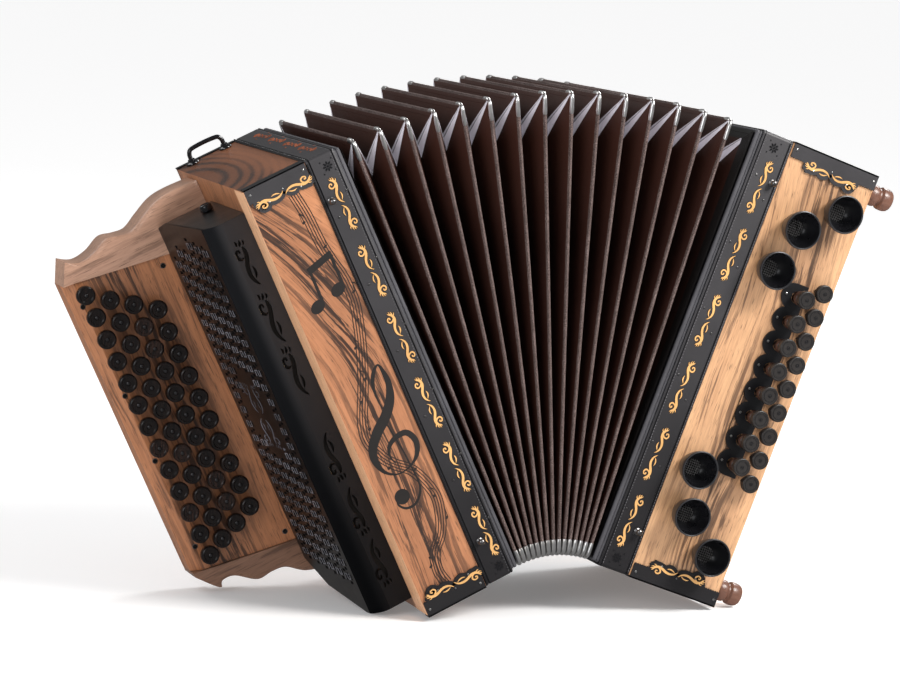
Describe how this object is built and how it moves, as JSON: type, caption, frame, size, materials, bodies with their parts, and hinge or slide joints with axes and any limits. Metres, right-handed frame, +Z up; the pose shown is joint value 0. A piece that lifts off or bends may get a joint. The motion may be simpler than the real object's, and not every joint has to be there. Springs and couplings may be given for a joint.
{
  "type": "diatonic button accordion",
  "caption": "Diatonic button accordion with its bellows fanned open: walnut treble and bass cases, button rows, a pierced cover, flared bass horns, turned feet and a hand strap.",
  "frame": {"origin": "on the ground plane, under the middle of the object's bounding box", "axes": "+X from the treble case towards the bass case, -Y towards the audience (the front faces), +Z up"},
  "size_m": [0.62, 0.2092, 0.3952],
  "materials": {
    "walnut": "satin oiled walnut with dark streaks",
    "turned_wood": "satin, turned",
    "frame_dark": "matt charcoal",
    "black_metal": "satin black",
    "steel": "polished",
    "ebony": "polished dark wood",
    "black_button": "satin black",
    "bellows_leather": "matt dark brown",
    "strap_leather": "matt black",
    "spruce": "raw"
  },
  "bodies": {
    "treble": {"treble_case": "walnut", "treble_bellows_frame": "frame_dark", "treble_pin_upper": "steel", "treble_pin_lower": "steel", "treble_plate_top": "frame_dark", "treble_plate_bottom": "frame_dark", "treble_reed_block": "spruce", "treble_bail": "black_metal", "fingerboard": "walnut", "fingerboard_back": "walnut", "scroll_upper": "walnut", "scroll_lower": "walnut", "treble_cover": "black_metal"},
    "cover_screw": {"cover_screw": "black_metal"},
    "treble_row_a": {"treble_buttons_a": "ebony"},
    "treble_row_b": {"treble_buttons_b": "ebony"},
    "treble_row_c": {"treble_buttons_c": "ebony"},
    "treble_row_d": {"treble_buttons_d": "ebony"},
    "treble_pallet_row_a": {"treble_pallets_a": "spruce"},
    "treble_pallet_row_b": {"treble_pallets_b": "spruce"},
    "treble_pallet_row_c": {"treble_pallets_c": "spruce"},
    "treble_pallet_row_d": {"treble_pallets_d": "spruce"},
    "fold_01": {"fold_01": "bellows_leather"},
    "fold_02": {"fold_02": "bellows_leather"},
    "fold_03": {"fold_03": "bellows_leather"},
    "fold_04": {"fold_04": "bellows_leather"},
    "fold_05": {"fold_05": "bellows_leather"},
    "fold_06": {"fold_06": "bellows_leather"},
    "fold_07": {"fold_07": "bellows_leather"},
    "fold_08": {"fold_08": "bellows_leather"},
    "fold_09": {"fold_09": "bellows_leather"},
    "fold_10": {"fold_10": "bellows_leather"},
    "fold_11": {"fold_11": "bellows_leather"},
    "fold_12": {"fold_12": "bellows_leather"},
    "fold_13": {"fold_13": "bellows_leather"},
    "fold_14": {"fold_14": "bellows_leather"},
    "fold_15": {"fold_15": "bellows_leather"},
    "bass": {"bass_case": "walnut", "bass_bellows_frame": "frame_dark", "bass_pin_upper": "steel", "bass_pin_lower": "steel", "bass_plate_top": "frame_dark", "bass_plate_bottom": "frame_dark", "bass_reed_block": "spruce", "bass_button_plate": "black_metal", "hand_strap": "strap_leather", "horn_1": "black_metal", "horn_2": "black_metal", "horn_3": "black_metal", "horn_4": "black_metal", "horn_5": "black_metal", "horn_6": "black_metal", "foot_front_top": "turned_wood", "foot_front_bottom": "turned_wood", "foot_back_top": "turned_wood", "foot_back_bottom": "turned_wood"},
    "bass_row_inner": {"bass_buttons_inner": "black_button"},
    "bass_row_outer": {"bass_buttons_outer": "black_button"},
    "air_button": {"air_button": "steel"},
    "air_valve": {"air_valve": "strap_leather"}
  },
  "joints": [
    {"name": "bellows_01", "type": "hinge", "parent": "treble", "child": "fold_01", "pos_m": [0.01189, 0.00965, 0.03938], "axis": [0, 1, 0], "range_deg": [-1.48, 0.5], "stiffness_Nm_per_rad": 900},
    {"name": "bellows_02", "type": "hinge", "parent": "fold_01", "child": "fold_02", "pos_m": [0.01453, 0.00965, 0.04052], "axis": [0, 1, 0], "range_deg": [-2.95, 1], "stiffness_Nm_per_rad": 900},
    {"name": "bellows_03", "type": "hinge", "parent": "fold_02", "child": "fold_03", "pos_m": [0.01811, 0.00965, 0.0419], "axis": [0, 1, 0], "range_deg": [-2.95, 1], "stiffness_Nm_per_rad": 900},
    {"name": "bellows_04", "type": "hinge", "parent": "fold_03", "child": "fold_04", "pos_m": [0.02176, 0.00965, 0.04308], "axis": [0, 1, 0], "range_deg": [-2.95, 1], "stiffness_Nm_per_rad": 900},
    {"name": "bellows_05", "type": "hinge", "parent": "fold_04", "child": "fold_05", "pos_m": [0.02547, 0.00965, 0.04408], "axis": [0, 1, 0], "range_deg": [-2.95, 1], "stiffness_Nm_per_rad": 900},
    {"name": "bellows_06", "type": "hinge", "parent": "fold_05", "child": "fold_06", "pos_m": [0.02922, 0.00965, 0.04489], "axis": [0, 1, 0], "range_deg": [-2.95, 1], "stiffness_Nm_per_rad": 900},
    {"name": "bellows_07", "type": "hinge", "parent": "fold_06", "child": "fold_07", "pos_m": [0.033, 0.00965, 0.0455], "axis": [0, 1, 0], "range_deg": [-2.95, 1], "stiffness_Nm_per_rad": 900},
    {"name": "bellows_08", "type": "hinge", "parent": "fold_07", "child": "fold_08", "pos_m": [0.03682, 0.00965, 0.04591], "axis": [0, 1, 0], "range_deg": [-2.95, 1], "stiffness_Nm_per_rad": 900},
    {"name": "bellows_09", "type": "hinge", "parent": "fold_08", "child": "fold_09", "pos_m": [0.04065, 0.00965, 0.04613], "axis": [0, 1, 0], "range_deg": [-2.95, 1], "stiffness_Nm_per_rad": 900},
    {"name": "bellows_10", "type": "hinge", "parent": "fold_09", "child": "fold_10", "pos_m": [0.04448, 0.00965, 0.04614], "axis": [0, 1, 0], "range_deg": [-2.95, 1], "stiffness_Nm_per_rad": 900},
    {"name": "bellows_11", "type": "hinge", "parent": "fold_10", "child": "fold_11", "pos_m": [0.04832, 0.00965, 0.04597], "axis": [0, 1, 0], "range_deg": [-2.95, 1], "stiffness_Nm_per_rad": 900},
    {"name": "bellows_12", "type": "hinge", "parent": "fold_11", "child": "fold_12", "pos_m": [0.05214, 0.00965, 0.04559], "axis": [0, 1, 0], "range_deg": [-2.95, 1], "stiffness_Nm_per_rad": 900},
    {"name": "bellows_13", "type": "hinge", "parent": "fold_12", "child": "fold_13", "pos_m": [0.05593, 0.00965, 0.04502], "axis": [0, 1, 0], "range_deg": [-2.95, 1], "stiffness_Nm_per_rad": 900},
    {"name": "bellows_14", "type": "hinge", "parent": "fold_13", "child": "fold_14", "pos_m": [0.05969, 0.00965, 0.04425], "axis": [0, 1, 0], "range_deg": [-2.95, 1], "stiffness_Nm_per_rad": 900},
    {"name": "bellows_15", "type": "hinge", "parent": "fold_14", "child": "fold_15", "pos_m": [0.0634, 0.00965, 0.04329], "axis": [0, 1, 0], "range_deg": [-2.95, 1], "stiffness_Nm_per_rad": 900},
    {"name": "bellows_16", "type": "hinge", "parent": "fold_15", "child": "bass", "pos_m": [0.06706, 0.00965, 0.04214], "axis": [0, 1, 0], "range_deg": [-2.95, 1], "stiffness_Nm_per_rad": 900},
    {"name": "treble_press_a", "type": "slide", "parent": "treble", "child": "treble_row_a", "axis": [0, 1, 0], "range_m": [0, 0.004], "stiffness_N_per_m": 120, "springref_m": -0.002},
    {"name": "pallet_lift_a", "type": "slide", "parent": "treble", "child": "treble_pallet_row_a", "axis": [-0.9033, 0, -0.4289], "range_m": [0, 0.003]},
    {"name": "treble_press_b", "type": "slide", "parent": "treble", "child": "treble_row_b", "axis": [0, 1, 0], "range_m": [0, 0.004], "stiffness_N_per_m": 120, "springref_m": -0.002},
    {"name": "pallet_lift_b", "type": "slide", "parent": "treble", "child": "treble_pallet_row_b", "axis": [-0.9033, 0, -0.4289], "range_m": [0, 0.003]},
    {"name": "treble_press_c", "type": "slide", "parent": "treble", "child": "treble_row_c", "axis": [0, 1, 0], "range_m": [0, 0.004], "stiffness_N_per_m": 120, "springref_m": -0.002},
    {"name": "pallet_lift_c", "type": "slide", "parent": "treble", "child": "treble_pallet_row_c", "axis": [-0.9033, 0, -0.4289], "range_m": [0, 0.003]},
    {"name": "treble_press_d", "type": "slide", "parent": "treble", "child": "treble_row_d", "axis": [0, 1, 0], "range_m": [0, 0.004], "stiffness_N_per_m": 120, "springref_m": -0.002},
    {"name": "pallet_lift_d", "type": "slide", "parent": "treble", "child": "treble_pallet_row_d", "axis": [-0.9033, 0, -0.4289], "range_m": [0, 0.003]},
    {"name": "cover_screw_turn", "type": "hinge", "parent": "treble", "child": "cover_screw", "pos_m": [-0.21316, 0.00165, 0.29894], "axis": [-0.4289, 0, 0.9033], "continuous": true},
    {"name": "bass_press_inner", "type": "slide", "parent": "bass", "child": "bass_row_inner", "axis": [0, 1, 0], "range_m": [0, 0.004], "stiffness_N_per_m": 120, "springref_m": -0.002},
    {"name": "bass_press_outer", "type": "slide", "parent": "bass", "child": "bass_row_outer", "axis": [0, 1, 0], "range_m": [0, 0.004], "stiffness_N_per_m": 120, "springref_m": -0.002},
    {"name": "air_press", "type": "slide", "parent": "bass", "child": "air_button", "axis": [-0.9373, 0, 0.3486], "range_m": [0, 0.003], "stiffness_N_per_m": 150, "springref_m": -0.002},
    {"name": "air_valve_lift", "type": "slide", "parent": "bass", "child": "air_valve", "axis": [-0.9373, 0, 0.3486], "range_m": [0, 0.0045]}
  ],
  "couplings": [
    {"joint": "bellows_01", "follows": "bellows_02", "ratio": 0.5},
    {"joint": "bellows_03", "follows": "bellows_02", "ratio": 1},
    {"joint": "bellows_04", "follows": "bellows_02", "ratio": 1},
    {"joint": "bellows_05", "follows": "bellows_02", "ratio": 1},
    {"joint": "bellows_06", "follows": "bellows_02", "ratio": 1},
    {"joint": "bellows_07", "follows": "bellows_02", "ratio": 1},
    {"joint": "bellows_08", "follows": "bellows_02", "ratio": 1},
    {"joint": "bellows_09", "follows": "bellows_02", "ratio": 1},
    {"joint": "bellows_10", "follows": "bellows_02", "ratio": 1},
    {"joint": "bellows_11", "follows": "bellows_02", "ratio": 1},
    {"joint": "bellows_12", "follows": "bellows_02", "ratio": 1},
    {"joint": "bellows_13", "follows": "bellows_02", "ratio": 1},
    {"joint": "bellows_14", "follows": "bellows_02", "ratio": 1},
    {"joint": "bellows_15", "follows": "bellows_02", "ratio": 1},
    {"joint": "bellows_16", "follows": "bellows_02", "ratio": 1},
    {"joint": "pallet_lift_a", "follows": "treble_press_a", "ratio": 0.75},
    {"joint": "pallet_lift_b", "follows": "treble_press_b", "ratio": 0.75},
    {"joint": "pallet_lift_c", "follows": "treble_press_c", "ratio": 0.75},
    {"joint": "pallet_lift_d", "follows": "treble_press_d", "ratio": 0.75},
    {"joint": "air_valve_lift", "follows": "air_press", "ratio": 1.5}
  ]
}
